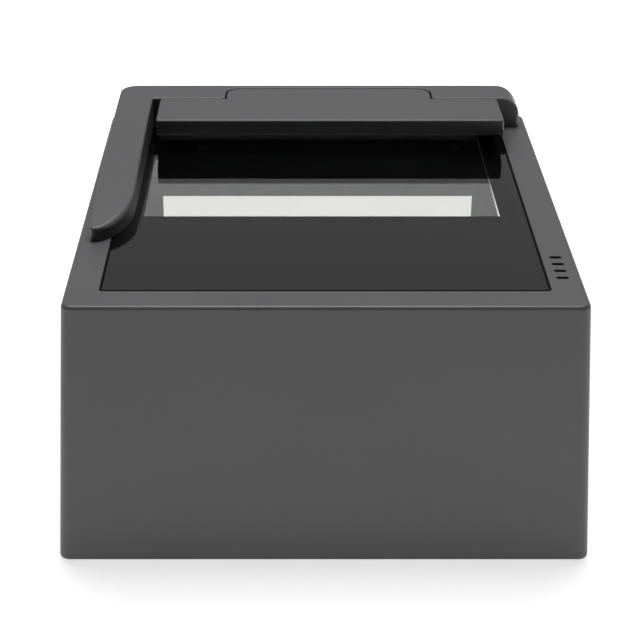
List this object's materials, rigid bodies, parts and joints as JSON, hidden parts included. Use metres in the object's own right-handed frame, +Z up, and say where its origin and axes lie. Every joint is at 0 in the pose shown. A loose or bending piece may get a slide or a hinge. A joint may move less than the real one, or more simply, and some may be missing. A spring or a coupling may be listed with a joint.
{
  "type": "passport reader",
  "caption": "Desktop full-page document reader: a tall moulded box with an inset glass top, a raised L-shaped guide and a hinged hood that holds the page flat.",
  "frame": {"origin": "middle of the footprint, on the table under the feet", "axes": "+X to the right, +Y from the front face to the rear face with the hood, +Z up"},
  "size_m": [0.1768, 0.1946, 0.1042],
  "materials": {
    "casing": "fine moulded texture",
    "dark_plastic": "fine moulded texture",
    "foot_rubber": "matt",
    "glass": "polished",
    "black_print": "screen printed",
    "foam": "matt",
    "chamber_grey": "satin",
    "baffle_black": "matt",
    "diffuser_white": "opal",
    "ribbon": "smooth",
    "camera_black": "satin",
    "lens_glass": "coated",
    "heat_sink": "anodised",
    "port_steel": "plated",
    "jack_black": "satin",
    "spring_steel": "drawn wire",
    "board_green": "solder mask",
    "screw_steel": "zinc plated"
  },
  "bodies": {
    "reader": {"antenna_board": "board_green", "antenna_ribbon": "ribbon", "base_plate": "dark_plastic", "base_screw_front_left": "screw_steel", "base_screw_front_right": "screw_steel", "base_screw_rear_left": "screw_steel", "base_screw_rear_right": "screw_steel", "board_screw_front_left": "screw_steel", "board_screw_front_right": "screw_steel", "board_screw_rear_left": "screw_steel", "board_screw_rear_right": "screw_steel", "box_screw_front_left": "screw_steel", "box_screw_front_right": "screw_steel", "box_screw_rear_left": "screw_steel", "box_screw_rear_right": "screw_steel", "buzzer": "jack_black", "camera_board": "board_green", "camera_ribbon": "ribbon", "document_guide": "casing", "foot_front_left": "foot_rubber", "foot_front_right": "foot_rubber", "foot_rear_left": "foot_rubber", "foot_rear_right": "foot_rubber", "front_diffuser": "diffuser_white", "front_led_board": "board_green", "glass_border": "black_print", "glass_gasket": "foam", "glass_plate": "glass", "guide_screw_rail_front": "screw_steel", "guide_screw_rail_rear": "screw_steel", "guide_screw_stop_left": "screw_steel", "guide_screw_stop_right": "screw_steel", "heat_sink": "heat_sink", "hinge_rod": "spring_steel", "housing_shell": "casing", "led_ribbon": "ribbon", "left_diffuser": "diffuser_white", "left_led_board": "board_green", "lens_barrel": "camera_black", "lens_glass": "lens_glass", "lens_holder": "camera_black", "light_box": "chamber_grey", "main_board": "board_green", "power_jack": "jack_black", "reader_board": "board_green", "reader_screw_left": "screw_steel", "reader_screw_right": "screw_steel", "rear_baffle": "baffle_black", "rear_diffuser": "diffuser_white", "rear_led_board": "board_green", "right_diffuser": "diffuser_white", "right_led_board": "board_green", "torsion_spring_left": "spring_steel", "torsion_spring_right": "spring_steel", "usb_port": "port_steel"},
    "hood": {"hood_screw_left": "screw_steel", "hood_screw_right": "screw_steel", "hood_shell": "casing", "hood_underside": "dark_plastic"}
  },
  "joints": [
    {"name": "hood_hinge", "type": "hinge", "parent": "reader", "child": "hood", "pos_m": [0.0041, 0.0848, 0.0997], "axis": [-1, 0, 0], "range_deg": [0, 10], "stiffness_Nm_per_rad": 0.06, "springref_deg": -28.65, "deforming": ["torsion_spring_left", "torsion_spring_right"]}
  ]
}
